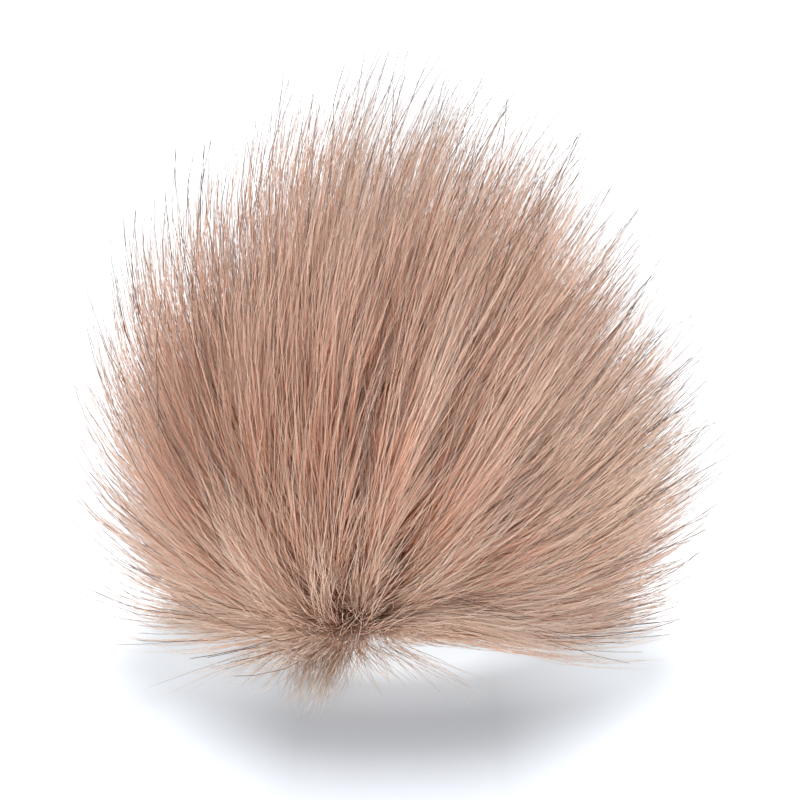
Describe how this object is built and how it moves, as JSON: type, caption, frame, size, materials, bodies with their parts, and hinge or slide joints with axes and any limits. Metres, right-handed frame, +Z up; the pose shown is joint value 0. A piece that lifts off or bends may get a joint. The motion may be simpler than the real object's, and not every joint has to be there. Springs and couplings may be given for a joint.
{
  "type": "faux-fur pom pom",
  "caption": "Long-pile faux-fur pom pom, gathered low at the front, with its pile combed up and outwards into a soft ball.",
  "frame": {"origin": "centre of the bounding box's base, on the surface that the pom pom rests on", "axes": "+Z up as it lies, -Y towards the side where the gather shows, +X to that side's right"},
  "size_m": [0.1302, 0.1295, 0.1191],
  "materials": {
    "fur": "long acrylic pile, rose-tan with darker roots and pale tips, soft satin sheen"
  },
  "bodies": {
    "root": {"gathered_fur_ball": "fur"}
  },
  "joints": []
}
